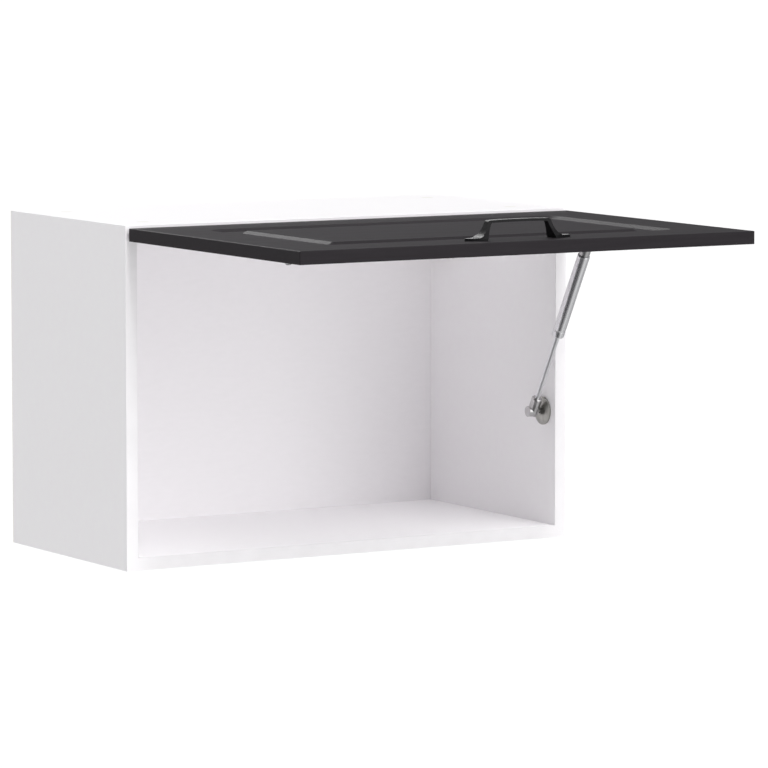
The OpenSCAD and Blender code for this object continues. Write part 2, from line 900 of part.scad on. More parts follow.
// Side view of the handle: a foot runs out of each leg in a hollow sweep
module handle_outline() {
    half = handle_pitch / 2;
    inner = half - handle_leg_in;
    outer = inner + handle_leg;
    sweep_z = handle_foot_t + handle_sweep;
    sweep_x = outer - sweep_z * tan(handle_lean) + handle_sweep / cos(handle_lean);
    foot_x = half + handle_foot + over;
    difference() {
        union() {
            bow(outer, handle_h, handle_corner);
            for (side = [0, 1]) mirror([side, 0]) difference() {
                polygon([[half, -over], [foot_x, -over], [foot_x, handle_foot_t],
                    [sweep_x, handle_foot_t], [sweep_x - handle_sweep * cos(handle_lean),
                        sweep_z - handle_sweep * sin(handle_lean)]]);
                translate([sweep_x, sweep_z]) circle(r = handle_sweep + nick);
            }
        }
        bow(inner, handle_h - handle_bar_t, handle_knee);
    }
}

// Plan of the handle: the feet end in leaves
module handle_plan() {
    leaf_x = handle_pitch / 2 - handle_leaf_back;
    leaf_l = handle_leaf_back + handle_foot;
    leaf_w = handle_foot_w + over;
    leaf_r = arc_r(leaf_l + handle_point, leaf_w / 2);
    square([2 * leaf_x, leaf_w], center = true);
    for (x = [-leaf_x, leaf_x]) translate([x, 0]) intersection() {
        square([2 * leaf_l, leaf_w], center = true);
        translate([0, leaf_r - leaf_w / 2]) circle(r = leaf_r, $fn = 200);
        translate([0, leaf_w / 2 - leaf_r]) circle(r = leaf_r, $fn = 200);
    }
}

// View along the handle: the bar is narrow and the legs widen down to the feet
module handle_section() {
    half_w = handle_w / 2;
    round_z = handle_h + 2 * fit - handle_round;
    flare_r = arc_r(round_z - handle_foot_t, (handle_foot_w - handle_w) / 2);
    difference() {
        translate([-handle_foot_w / 2, 0]) square([handle_foot_w, round_z]);
        for (side = [-1, 1]) translate([side * (half_w + flare_r), round_z])
            circle(r = flare_r, $fn = 200);
    }
    translate([handle_round - half_w, 0]) square([handle_w - 2 * handle_round, round_z + handle_round]);
    for (side = [-1, 1]) translate([side * (half_w - handle_round), round_z])
        circle(r = handle_round);
}

module handle() {
    len = handle_pitch + 2 * (handle_foot + over);
    color("black") difference() {
        at_handle() intersection() {
            translate([0, handle_foot_w / 2 + over, 0]) rotate([90, 0, 0])
                linear_extrude(handle_foot_w + 2 * over) handle_outline();
            linear_extrude(handle_h + over) handle_plan();
            translate([-len / 2, 0, 0]) rotate([0, 0, 90]) rotate([90, 0, 0])
                linear_extrude(len) handle_section();
        }
        at_handle_screws() rod_z(door_t - over, door_t + handle_screw_in + blind_gap,
            handle_screw_d / 2 + fit);
    }
}

module handle_screws() {
    color("silver") at_handle_screws() difference() {
        union() {
            rod_z(0, door_t + handle_screw_in, handle_screw_d / 2);
            rod_z(-handle_head_h, 0, handle_head_r);
        }
        translate([0, 0, -handle_head_h]) mirror([0, 0, 1]) cross_recess(handle_head_r * 1.2, 1);
    }
}

// Round base of the strut on the right side, its axis pointing into the cabinet
module at_base() {
    translate([inner_x, -(carcass_d + low_f), low_z]) rotate([0, -90, 0]) children();
}

module at_base_screws() {
    at_base() for (turn = [0 : 120 : 240]) rotate([0, 0, turn])
        translate([base_screw_r, 0, base_plate_t]) children();
}

module strut_base_plate() {
    color("silver") difference() {
        at_base() rod_z(0, base_plate_t, base_d / 2 - base_wall - loose / 2);
        at_base_screws() countersunk_hole(base_screw_d, base_screw_head, base_screw_len);
    }
}

module strut_base_screws() {
    color("silver") at_base_screws() countersunk(base_screw_d, base_screw_head, base_screw_len);
}

module strut_base_stud() {
    color("silver") at_base() rod_z(base_plate_t, stud_len + loose, stud_r);
}

// Shell of revolution over the base plate
module base_dome(r, rim, dome) {
    cap_r = arc_r(r, dome);
    rod_z(0, rim, r);
    intersection() {
        translate([0, 0, rim + dome - cap_r]) sphere(r = cap_r, $fn = 96);
        rod_z(rim - over / 2, rim + dome + over, r);
    }
}

module strut_base_cover() {
    color("silver") at_base() difference() {
        base_dome(base_d / 2, base_rim_h, base_dome_h);
        difference() {
            base_dome(base_d / 2 - base_wall, base_rim_h, base_dome_h - base_wall);
            rod_z(-over, 0, base_d);
        }
        rod_z(-over, over, base_d / 2 - base_wall);
        rod_z(0, base_rim_h + base_dome_h + over, stud_r + loose);
    }
}

// Bracket that carries the upper ball under the flap
module at_bracket_screws() {
    for (side = [-1, 1])
        on_flap_inside(tab_x + tab_t - bracket_w + bracket_screw_in, up_reach + side * bracket_screw_step)
            translate([0, 0, -bracket_t]) mirror([0, 0, 1]) children();
}

module strut_bracket() {
    color("silver") difference() {
        on_flap_inside(0, up_reach) {
            translate([tab_x + tab_t - bracket_w / 2, 0, -bracket_t]) linear_extrude(bracket_t)
                round_rect(bracket_w, bracket_l, 3);
            block([tab_x, -tab_r, -up_drop], [tab_x + tab_t, tab_r, 0]);
            translate([0, 0, -up_drop]) rod_x(tab_x, tab_x + tab_t, tab_r);
        }
        on_flap_inside(0, up_reach) translate([0, 0, -up_drop])
            rod_x(tab_x - over, tab_x + tab_t + over, neck_r + fit);
        at_bracket_screws()
            countersunk_hole(bracket_screw_d, bracket_screw_head, bracket_screw_len);
    }
}

module strut_bracket_stud() {
    color("silver") on_flap_inside(0, up_reach) translate([0, 0, -up_drop]) {
        translate([strut_x, 0, 0]) rotate([0, 90, 0]) sphere(r = ball_d / 2);
        rod_x(strut_x, tab_x + tab_t, neck_r);
        rod_x(tab_x + tab_t, tab_x + tab_t + rivet_t, rivet_r);
    }
}

module strut_bracket_screws() {
    color("silver") at_bracket_screws()
        countersunk(bracket_screw_d, bracket_screw_head, bracket_screw_len);
}

// Middle of the lower ball
module at_low_ball() {
    translate([strut_x, -(carcass_d + low_f), low_z]) children();
}

// Frame of the strut: the origin is the lower ball and Z runs to the upper ball
module on_strut() {
    at_low_ball() rotate([strut_tilt, 0, 0]) children();
}

// Ball socket with its shank along +Z and its mouth towards the side
module ball_socket(len) {
    chamfer = 1;
    difference() {
        union() {
            rod_x(-socket_front, socket_back, socket_r);
            rod_z(0, len - chamfer, socket_r);
            translate([0, 0, len - chamfer]) cylinder(h = chamfer, r1 = socket_r,
                r2 = socket_r - chamfer);
        }
        block([socket_back, -socket_d, -socket_d], [socket_d, socket_d, ball_d / 2 + 2]);
        rotate([0, 90, 0]) sphere(r = ball_d / 2 + seat_gap);
        rod_x(0, socket_d, mouth_r);
    }
}

module strut_lower_socket() {
    color("silver") on_strut() difference() {
        ball_socket(low_socket_len);
        rod_z(rod_thread_z, low_socket_len + over, rod_d / 2 + fit);
    }
}

module strut_lower_ball() {
    color("silver") at_low_ball() {
        rotate([0, 90, 0]) sphere(r = ball_d / 2);
        rod_x(0, neck_end, neck_r);
    }
}

module strut_rod() {
    color("lightgray") on_strut() {
        rod_z(rod_thread_z, piston_z, rod_d / 2);
        rod_z(piston_z, piston_z + piston_h, rod_d / 2 - 1);
        rod_z(piston_z + piston_h, piston_z + piston_h + rivet_h, rod_d / 2);
    }
}

module strut_piston() {
    color("gray") on_strut() difference() {
        rod_z(piston_z, piston_z + piston_h, tube_bore_r - fit);
        rod_z(piston_z - over, piston_z + piston_h + over, rod_d / 2 - 1 + fit);
        translate([0, 0, piston_z + piston_h / 2]) rotate_extrude()
            translate([tube_bore_r - over, 0]) square([2 * over, 2], center = true);
    }
}

// Tube, rolled in at its lower end
module strut_tube() {
    color("lightgray") on_strut() difference() {
        union() {
            rod_z(tube_lo + tube_lip_h, tube_hi, tube_r);
            translate([0, 0, tube_lo]) cylinder(h = tube_lip_h, r1 = tube_r - tube_lip_h, r2 = tube_r);
        }
        rod_z(tube_lo + tube_lip_h, tube_hi + over, tube_bore_r);
        rod_z(tube_lo - over, tube_hi, rod_d / 2 + loose);
    }
}

module strut_rod_guide() {
    color("gray") on_strut() difference() {
        rod_z(tube_lo + tube_lip_h, tube_lo + tube_lip_h + guide_h, tube_bore_r - fit);
        rod_z(tube_lo, tube_lo + tube_lip_h + guide_h + over, rod_d / 2 + fit);
    }
}

module strut_rod_seal() {
    seal_lo = tube_lo + tube_lip_h + guide_h;
    color("dimgray") on_strut() difference() {
        rod_z(seal_lo, seal_lo + seal_h, tube_bore_r - fit);
        rod_z(seal_lo - over, seal_lo + seal_h + over, rod_d / 2 + fit);
    }
}

module strut_end_plug() {
    color("gray") on_strut() {
        rod_z(tube_hi - plug_h, tube_hi, tube_bore_r - fit);
        rod_z(tube_hi, tube_hi + plug_stud_len, plug_stud_r);
    }
}

module strut_upper_socket() {
    color("silver") on_strut() difference() {
        translate([0, 0, strut_len]) rotate([180, 0, 0]) ball_socket(up_socket_len);
        rod_z(tube_hi - over, tube_hi + plug_stud_len + blind_gap, plug_stud_r + fit);
    }
}

side_panel_left();
side_panel_right();
top_panel();
bottom_panel();
front_edge_bands();
back_panel();
back_panel_nails();
cam_locks();
cam_covers();
cam_bolts();
panel_dowels();
hanger_housing_left();
hanger_housing_right();
hanger_hook_left();
hanger_hook_right();
hanger_screws();
hinge_plate_left();
hinge_plate_right();
hinge_arm_left();
hinge_arm_right();
hinge_plate_screws();
hinge_adjust_screws();
strut_base_plate();
strut_base_stud();
strut_base_screws();
strut_base_cover();
flap_panel();
handle();
handle_screws();
hinge_cup_left();
hinge_cup_right();
hinge_cup_screws();
hinge_pins();
door_bumpers();
strut_bracket();
strut_bracket_stud();
strut_bracket_screws();
strut_tube();
strut_rod_guide();
strut_rod_seal();
strut_end_plug();
strut_upper_socket();
strut_rod();
strut_piston();
strut_lower_socket();
strut_lower_ball();
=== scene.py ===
import json
from math import atan2, cos, pi, radians, sin

import bmesh
import bpy
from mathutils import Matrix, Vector


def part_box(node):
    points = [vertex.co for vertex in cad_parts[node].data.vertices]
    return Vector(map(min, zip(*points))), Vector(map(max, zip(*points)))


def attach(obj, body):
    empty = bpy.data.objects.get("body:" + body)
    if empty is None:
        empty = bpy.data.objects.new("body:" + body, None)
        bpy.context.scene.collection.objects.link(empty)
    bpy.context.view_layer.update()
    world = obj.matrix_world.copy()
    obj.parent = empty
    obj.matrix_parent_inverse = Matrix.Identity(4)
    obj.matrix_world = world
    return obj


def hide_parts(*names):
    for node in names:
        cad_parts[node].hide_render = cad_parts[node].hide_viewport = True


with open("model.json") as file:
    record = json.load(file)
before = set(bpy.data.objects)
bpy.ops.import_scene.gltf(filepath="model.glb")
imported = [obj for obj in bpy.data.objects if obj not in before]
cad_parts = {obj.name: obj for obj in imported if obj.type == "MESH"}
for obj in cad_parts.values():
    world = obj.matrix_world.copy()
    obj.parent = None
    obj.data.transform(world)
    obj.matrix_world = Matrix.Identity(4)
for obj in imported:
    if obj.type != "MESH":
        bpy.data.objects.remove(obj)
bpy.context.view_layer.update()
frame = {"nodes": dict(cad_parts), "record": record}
scene = bpy.context.scene
cadNodes = frame["nodes"]
behaviour = frame["record"]["behaviour"]
slotOf = {part["node"]: part["material_slot"] for part in frame["record"]["subparts"]}
bodyOf = {name: body for body, names in behaviour["bodies"].items() for name in names}
joints = {joint["name"]: joint for joint in behaviour["joints"]}
upperBall = Vector(joints["strut_upper_pivot"]["pos_m"])
strutAxis = Vector(joints["strut_slide"]["axis"]).normalized()  # from the lower ball to the upper one
mm = 0.001
samePoint = 1e-6  # metres; vertices nearer than this are one


def linear(hexColour):
    # sRGB hex to the linear colour that the shaders work in
    parts = [int(hexColour[i:i + 2], 16) / 255 for i in (1, 3, 5)]
    return tuple(c / 12.92 if c <= 0.04045 else ((c + 0.055) / 1.055) ** 2.4 for c in parts) + (1.0,)


def addNode(tree, kind, inputs=None, **settings):
    # one node with its settings, and each input given as a value or as the socket that feeds it
    node = tree.nodes.new(kind)
    for name, value in settings.items():
        setattr(node, name, value)
    for key, value in (inputs or {}).items():
        if isinstance(value, bpy.types.NodeSocket):
            tree.links.new(value, node.inputs[key])
        else:
            node.inputs[key].default_value = value
    return node


def addObject(name, data):
    added = bpy.data.objects.new(name, data)
    scene.collection.objects.link(added)
    return added


# Camera at the photograph's place: a long lens from the front left, a little above the flap
cameraSet = {
    "place": (-3.01182, -5.46742, 0.82033),  # metres
    "turn": -30.574,  # degrees about Z, 0 looks along +Y
    "down": 5.897,  # degrees below level
    "lens": 239.02,  # mm
    "sensor": 36,  # mm
    "seesFrom": 0.1, "seesTo": 2000,  # metres
}


def makeCamera(setup):
    camera = addObject("camera", bpy.data.cameras.new("camera"))
    camera.data.sensor_width = setup["sensor"]
    camera.data.lens = setup["lens"]
    camera.data.clip_start, camera.data.clip_end = setup["seesFrom"], setup["seesTo"]
    camera.location = setup["place"]
    camera.rotation_euler = (radians(90 - setup["down"]), 0, radians(setup["turn"]))
    scene.camera = camera


makeCamera(cameraSet)
print("camera set")


# Studio: a pale floor far below the hung cabinet, a white dome with dimmer parts, soft lamps from the front,
# from above and from behind, and others that light only the nodes they name
studioSet = {
    "floorDepth": 8.0,  # metres below the cabinet, so that views from below stay above it
    "floorReach": 700.0,  # metres
    "floorTone": "#f7f7f7",
    "domePower": 0.72,
    "dimSides": (  # parts of the dome: direction, cosines between which it fades to its tone, tone
        ((-0.50, -0.85, 0.10), (0.90, 0.985), "#3c3c3e"),  # a dark board, mirrored by metal as a stripe
        ((-1.0, 0.15, -0.1), (0.2, 0.95), "#b0b0b2"),  # the left, away from the lamps
        ((-0.61, -0.30, -0.735), (0.66, 0.98), "#6c6c6e"),  # one low on the left, a stripe on the strut
        ((0.95, 0.30, 0.0), (0.2, 0.95), "#d0d0d2"),  # the right, so that the right side isn't burnt out
        ((0.52, 0.85, 0.03), (0.90, 0.985), "#5c5c5e"),  # far behind, mirrored at a glance by the flap's top
    ),
    "lamps": (  # name, power, degrees to the right of the front, degrees up, spread, nodes lit (none: all)
        ("keyLamp", 1.02, 15, 13, 50, ()),
        ("topLamp", 1.12, 0, 80, 80, ()),
        ("edgeLamp", 1.4, 0, 50, 12, ("front_edge_bands",)),  # above the flap, that hides the rest from it
        ("rimLamp", 0.6, 169, 27, 24, ()),  # from behind, glances off the flap's bevels and the handle
        ("barLamp", 0.13, 151, 8, 16, ("handle",)),  # low behind the flap, a line of light on the bar
        ("crownLamp", 0.22, 0, 80, 60, ("top_panel",)),  # the top fades into the white ground
        ("insideLamp", 0.8, 50, 30, 60,
         ("back_panel", "bottom_panel", "side_panel_left", "side_panel_right")),
        ("shelfLamp", 2.3, -10, 30, 40, ("bottom_panel",)),  # the light that the cabinet's floor catches
    ),
    "bounces": 8,  # white boards light one another
}


def makeFloor(setup):
    depth, reach = setup["floorDepth"], setup["floorReach"]
    mesh = bpy.data.meshes.new("studioFloor")
    mesh.from_pydata([(-reach, -reach, -depth), (reach, -reach, -depth), (reach, reach, -depth),
                      (-reach, reach, -depth)], [], [(0, 1, 2, 3)])
    floor = addObject("studioFloor", mesh)
    paper = bpy.data.materials.new("palePaper")
    paper.use_nodes = True
    shader = paper.node_tree.nodes["Principled BSDF"]
    shader.inputs["Base Color"].default_value = linear(setup["floorTone"])
    shader.inputs["Roughness"].default_value = 1.0
    shader.inputs["Specular IOR Level"].default_value = 0.0
    mesh.materials.append(paper)
    floor.visible_glossy = False  # metal mirrors the dome below it


def makeDome(setup):
    world = bpy.data.worlds.new("studioDome")
    scene.world = world
    world.use_nodes = True
    tree = world.node_tree
    where = addNode(tree, "ShaderNodeTexCoord").outputs["Generated"]
    tone = linear("#ffffff")
    for towards, (low, high), dim in setup["dimSides"]:
        facing = addNode(tree, "ShaderNodeVectorMath", {0: where, 1: Vector(towards).normalized()},
                         operation="DOT_PRODUCT").outputs["Value"]
        share = addNode(tree, "ShaderNodeMapRange", {"Value": facing, "From Min": low, "From Max": high},
                        interpolation_type="SMOOTHSTEP").outputs[0]
        tone = addNode(tree, "ShaderNodeMix", {"Factor": share, "A": tone, "B": linear(dim)},
                       data_type="RGBA").outputs[2]
    background = tree.nodes["Background"]
    tree.links.new(tone, background.inputs["Color"])
    background.inputs["Strength"].default_value = setup["domePower"]


def makeLamps(setup):
    for name, power, turn, height, spread, lit in setup["lamps"]:
        lamp = addObject(name, bpy.data.lights.new(name, "SUN"))
        lamp.data.energy = power
        lamp.data.angle = radians(spread)
        lamp.rotation_euler = (radians(90 - height), 0, radians(turn))
        if lit:
            lamp.light_linking.receiver_collection = bpy.data.collections.new(name + "Lights")
            for node in lit:
                lamp.light_linking.receiver_collection.objects.link(cadNodes[node])


makeFloor(studioSet)
makeDome(studioSet)
makeLamps(studioSet)
scene.cycles.diffuse_bounces = studioSet["bounces"]
scene.view_settings.view_transform = "Standard"
print("studio set")


# Finishes. Each skin has two tones, the mm along X, Y and Z in which they change, a roughness range, and a
# relief, given as the width and depth of its bumps in mm. An edge skin takes over beyond a place on an axis,
# numbered 0 to 2, in mm
whiteMelamine = {  # melamine-faced chipboard: paper pressed smooth, so an even satin white, faint pearl grain
    "tones": ("#f4f2f4", "#f5f4f5"), "grain": (9, 9, 9), "rough": (0.46, 0.5),
    "relief": (0.9, 0.006), "specular": 0.4,
    "edge": {  # the raw chipboard edge that the wall hides: pressed flakes, tan, rough
        "beyond": (1, -0.4), "tones": ("#8f7148", "#cfb183"), "grain": (2.6, 1.2, 2.6),
        "rough": (0.85, 0.95), "relief": (1.6, 0.12),
    },
}
whiteEdging = {  # ABS edging, buffed after gluing: glossier than the board and a touch greyer
    "tones": ("#e9e7e9", "#eeecee"), "grain": (40, 3, 40), "rough": (0.28, 0.34), "relief": (2.5, 0.004),
}
whiteHardboard = {  # lacquered hardboard: white and smooth inside
    "tones": ("#f3f1f3", "#f5f3f5"), "grain": (14, 14, 5), "rough": (0.46, 0.52), "relief": (1.4, 0.008),
    "edge": {  # behind: bare, brown, with the marks of the press's screen
        "beyond": (1, -0.4), "tones": ("#6b4a2c", "#94704a"), "grain": (3.5, 3.5, 2.2),
        "rough": (0.7, 0.85), "relief": (1.2, 0.05), "screen": 1.9,
    },
}
zincPlate = {  # bright zinc on pressed steel: bluish silver, softly blotched
    "tones": ("#a9adb2", "#c9cdd1"), "grain": (2.2, 2.2, 2.2), "rough": (0.3, 0.46), "relief": (0.5, 0.003),
    "metal": 1,
}
nickelPlate = {  # nickel over pressed or cast parts: neutral silver, satin, with faint smears
    "tones": ("#b4b3b3", "#cccbcb"), "grain": (5, 5, 5), "rough": (0.28, 0.38), "relief": (1.5, 0.004),
    "metal": 1,
}
brightChrome = {  # hard chrome on the ground rod: bright, blurred by the fine rings that grinding left
    "tones": ("#e0e1e3", "#f0f1f3"), "grain": (30, 30, 0.4), "rough": (0.34, 0.42), "relief": (0.6, 0.0008),
    "metal": 1, "along": "strut",
    "edge": {  # the pressed base against the side panel: brushed before plating, and given a darker tone that is painted shade, standing in for the shadow and dark reflections under the socket
        "beyond": (0, 277), "tones": ("#a3a39e", "#b3b3ad"), "grain": (6, 0.5, 6), "rough": (0.26, 0.38),
        "relief": (0.7, 0.003),
    },
}
satinTube = {  # drawn steel tube under clear grey lacquer: silver, drawn lines along it
    "tones": ("#dcdcde", "#eeeef0"), "grain": (0.7, 0.7, 60), "rough": (0.22, 0.3), "relief": (0.9, 0.002),
    "metal": 1, "along": "strut", "coat": 0.4,
}
whiteNylon = {  # moulded nylon: slightly creamy, spark-eroded mould texture, drawn at 0.7 mm so that it shows
    "tones": ("#e6e5e0", "#efeeea"), "grain": (12, 12, 12), "rough": (0.45, 0.58), "relief": (0.7, 0.012),
}
turnedBeech = {  # beech dowel: pinkish tan with short darker flecks along the grain
    "tones": ("#c69a69", "#e0bd8e"), "grain": (7, 0.6, 0.6), "rough": (0.6, 0.75), "relief": (0.5, 0.03),
}
blackFilm = {  # matt black film pressed over routed fibreboard: soft black, faint streaks, fine orange peel
    "tones": ("#2a272a", "#2f2c2f"), "grain": (90, 5, 5), "rough": (0.4, 0.45), "relief": (1.3, 0.012),
    "specular": 0.066,
}
blackPowder = {  # powder coat on the cast handle: black, low gloss, fine grit, drawn at 0.6 mm so it shows
    "tones": ("#131214", "#1c1b1d"), "grain": (4, 4, 4), "rough": (0.3, 0.38), "relief": (0.6, 0.008),
    "specular": 0.14,
}
clearPad = {  # soft clear polyurethane dot: glassy, bends what lies behind it
    "tones": ("#eef0f0", "#f8f9f9"), "grain": (4, 4, 4), "rough": (0.16, 0.24), "relief": (1.5, 0.004),
    "clear": 0.85, "ior": 1.49,
}
greyNylon = {  # glass-filled nylon guide: mid grey with a fibrous bloom
    "tones": ("#56575a", "#6d6e71"), "grain": (2, 2, 6), "rough": (0.45, 0.6), "relief": (0.6, 0.01),
}
sealRubber = {  # nitrile rubber lip seal: soft black with a grey bloom
    "tones": ("#121213", "#232324"), "grain": (3, 3, 3), "rough": (0.6, 0.8), "relief": (0.6, 0.01),
}
finishOfSlot = {
    "white_board": whiteMelamine, "edge_band": whiteEdging, "hardboard": whiteHardboard,
    "zinc_steel": zincPlate, "nickel": nickelPlate, "chrome": brightChrome, "strut_paint": satinTube,
    "white_plastic": whiteNylon, "beech": turnedBeech, "black_film": blackFilm, "black_metal": blackPowder,
    "clear_pad": clearPad, "grey_plastic": greyNylon, "seal_rubber": sealRubber,
}
patternSet = {  # what all skins share
    "cloudDetail": 4, "cloudRough": 0.6,  # octaves of the noise between the tones, and what each one keeps
    "cloudRange": (0.3, 0.7),  # the noise's values at which either tone is whole
    "bumpDetail": 2,
    "waveWidth": 0.314,  # metres, of a wave at scale 1
    "screenHeight": 0.06,  # mm, of the press screen's marks
}
strutTilt = atan2(-strutAxis.y, strutAxis.z)  # how far the strut leans forward, for patterns along it


def makeSkin(tree, where, skin, turned):
    # colour, roughness and height of one skin
    grain = addNode(tree, "ShaderNodeMapping", {
        "Vector": where, "Rotation": (turned, 0, 0), "Scale": [g * mm for g in skin["grain"]],
    }, vector_type="TEXTURE").outputs[0]
    cloud = addNode(tree, "ShaderNodeTexNoise", {
        "Vector": grain, "Scale": 1, "Detail": patternSet["cloudDetail"],
        "Roughness": patternSet["cloudRough"]}).outputs[0]
    low, high = patternSet["cloudRange"]
    spread = addNode(tree, "ShaderNodeMapRange", {
        "Value": cloud, "From Min": low, "From Max": high}).outputs[0]
    dark, light = skin["tones"]
    colour = addNode(tree, "ShaderNodeMix", {"Factor": spread, "A": linear(dark), "B": linear(light)},
                     data_type="RGBA").outputs[2]
    smooth, coarse = skin["rough"]
    rough = addNode(tree, "ShaderNodeMapRange", {
        "Value": spread, "To Min": smooth, "To Max": coarse}).outputs[0]
    width, depth = skin["relief"]
    bumps = addNode(tree, "ShaderNodeTexNoise", {
        "Vector": where, "Scale": 1 / (width * mm), "Detail": patternSet["bumpDetail"]}).outputs[0]
    height = addNode(tree, "ShaderNodeMath", {0: bumps, 1: depth * mm}, operation="MULTIPLY").outputs[0]
    if "screen" in skin:  # woven screen marks: two crossing waves
        for direction in ("X", "Z"):
            wires = addNode(tree, "ShaderNodeTexWave", {
                "Vector": where, "Scale": patternSet["waveWidth"] / (skin["screen"] * mm),
            }, bands_direction=direction).outputs["Fac"]
            height = addNode(tree, "ShaderNodeMath", {
                0: wires, 1: patternSet["screenHeight"] * mm, 2: height,
            }, operation="MULTIPLY_ADD").outputs[0]
    return colour, rough, height


def makeFinish(name, skin):
    finish = bpy.data.materials.new(name)
    finish.use_nodes = True
    tree = finish.node_tree
    shader = tree.nodes["Principled BSDF"]
    where = addNode(tree, "ShaderNodeTexCoord").outputs["Object"]
    turned = strutTilt if skin.get("along") == "strut" else 0
    colour, rough, height = makeSkin(tree, where, skin, turned)
    if "edge" in skin:
        axis, limit = skin["edge"]["beyond"]
        apart = addNode(tree, "ShaderNodeSeparateXYZ", {0: where}).outputs
        past = addNode(tree, "ShaderNodeMath", {0: apart[axis], 1: limit * mm},
                       operation="GREATER_THAN").outputs[0]
        edgeColour, edgeRough, edgeHeight = makeSkin(tree, where, skin["edge"], 0)
        colour = addNode(tree, "ShaderNodeMix", {"Factor": past, "A": colour, "B": edgeColour},
                         data_type="RGBA").outputs[2]
        rough = addNode(tree, "ShaderNodeMix", {"Factor": past, "A": rough, "B": edgeRough}).outputs[0]
        height = addNode(tree, "ShaderNodeMix", {"Factor": past, "A": height, "B": edgeHeight}).outputs[0]
    bump = addNode(tree, "ShaderNodeBump", {"Height": height, "Strength": 1.0, "Distance": 1.0})
    tree.links.new(colour, shader.inputs["Base Color"])
    tree.links.new(rough, shader.inputs["Roughness"])
    tree.links.new(bump.outputs[0], shader.inputs["Normal"])
    for socket, key, usual in (("Metallic", "metal", 0), ("IOR", "ior", 1.5),
                               ("Specular IOR Level", "specular", 0.5), ("Coat Weight", "coat", 0),
                               ("Transmission Weight", "clear", 0)):
        shader.inputs[socket].default_value = skin.get(key, usual)
    return finish


finishes = {slotName: makeFinish(slotName, skin) for slotName, skin in finishOfSlot.items()}
for nodeName, node in cadNodes.items():
    for place in node.material_slots:
        place.material = finishes[slotOf[nodeName]]
print("finishes made:", len(finishes))


def startTree(name, shape, sizes, result):
    # a Geometry Nodes tree with its inputs: the shape it works on, its sizes and its finish
    tree = bpy.data.node_groups.new(name, "GeometryNodeTree")
    sockets = [(shape, "INPUT", "Geometry")] + [(size, "INPUT", "Float") for size in sizes]
    for label, way, kind in sockets + [("Finish", "INPUT", "Material"), (result, "OUTPUT", "Geometry")]:
        tree.interface.new_socket(label, in_out=way, socket_type="NodeSocket" + kind)
    return tree, addNode(tree, "NodeGroupInput").outputs


def endTree(tree, made, given, result):
    # every tree ends in real meshes that wear their finish
    real = addNode(tree, "GeometryNodeRealizeInstances", {"Geometry": made}).outputs[0]
    done = addNode(tree, "GeometryNodeSetMaterial", {
        "Geometry": real, "Material": given["Finish"]}).outputs[0]
    addNode(tree, "NodeGroupOutput", {result: done})
    return tree


def plainMesh(holder):
    # what an object's modifiers make of it, as a plain mesh, and the object goes
    made = bpy.data.meshes.new_from_object(holder.evaluated_get(bpy.context.evaluated_depsgraph_get()))
    holder.modifiers.clear()
    bpy.data.objects.remove(holder)
    return made


def makeByNodes(tree, name, sizes, points, edges=(), looks=None):
    # the tree's result on these points
    mesh = bpy.data.meshes.new(name)
    mesh.from_pydata(points, edges, [])
    if looks:
        facing = mesh.attributes.new("looks", "FLOAT_VECTOR", "POINT")
        facing.data.foreach_set("vector", list(looks) * len(points))
    holder = addObject(name, mesh)
    modifier = holder.modifiers.new(name, "NODES")
    modifier.node_group = tree
    for socket in tree.interface.items_tree:
        if socket.in_out == "INPUT" and socket.name in sizes:
            modifier[socket.identifier] = sizes[socket.name]
    return plainMesh(holder)


def meshFrom(work, name):
    # a bmesh as a mesh, and the bmesh goes
    mesh = bpy.data.meshes.new(name)
    work.to_mesh(mesh)
    work.free()
    return mesh


def mergedCopy(nodeName):
    # a CAD node's mesh with one vertex at each place, to work on
    work = bmesh.new()
    work.from_mesh(cadNodes[nodeName].data)
    bmesh.ops.remove_doubles(work, verts=work.verts, dist=samePoint)
    return work


def putPiece(name, mesh, slotName, body, *nodes, smooth=35):
    # a finished piece: shown on its body, in place of its CAD nodes; faces that meet at up to smooth degrees
    # shade as one
    piece = addObject(name, mesh)
    mesh.materials.clear()
    mesh.materials.append(finishes[slotName])
    if smooth:
        mesh.shade_smooth()
        mesh.set_sharp_from_angle(angle=radians(smooth))
    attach(piece, body)
    if nodes:
        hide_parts(*nodes)
    for lamp in bpy.data.lights:  # a lamp that lights only some nodes lights what stands in for them
        lit = bpy.data.collections.get(lamp.name + "Lights")
        if lit and any(cadNodes[node].name in lit.objects for node in nodes):
            lit.objects.link(piece)
    return piece


# Screws and nails come from one Geometry Nodes tree, which draws one with the top of its head at 0 and its
# tip below, and sets a copy on each point, turned to the way that the heads look
ways = {"down": (0, 0, -1), "left": (-1, 0, 0), "front": (0, -1, 0), "back": (0, 1, 0)}
screwSets = {  # by CAD node, sizes in mm; the head's width and the length follow the node's own solids
    "hinge_plate_screws": {"piece": "plateScrews", "looks": "down", "sunk": 1.7, "shank": 4.0, "pitch": 1.8},
    "hinge_cup_screws": {"piece": "cupScrews", "looks": "down", "sunk": 1.55, "shank": 3.5, "pitch": 1.6},
    "strut_bracket_screws": {"piece": "bracketScrews", "looks": "down", "sunk": 1.7, "shank": 4.0,
                             "pitch": 1.8},
    "strut_base_screws": {"piece": "baseScrews", "looks": "left", "sunk": 1.45, "shank": 3.5, "pitch": 1.6},
    "handle_screws": {"piece": "handleScrews", "looks": "down", "pan": 2.5, "shank": 4.0, "pitch": 0.7},
    "hanger_screws": {"piece": "hangerScrews", "looks": "front", "pan": 2.0, "shank": 5.0, "pitch": 0.9},
    "hinge_adjust_screws": {"piece": "adjustScrews", "looks": "down", "pan": 2.0, "shank": 5.0, "pitch": 0.8},
    "back_panel_nails": {"piece": "backNails", "looks": "back", "pan": 0.8, "shank": 1.6, "pitch": 1.0,
                         "nail": True},
}
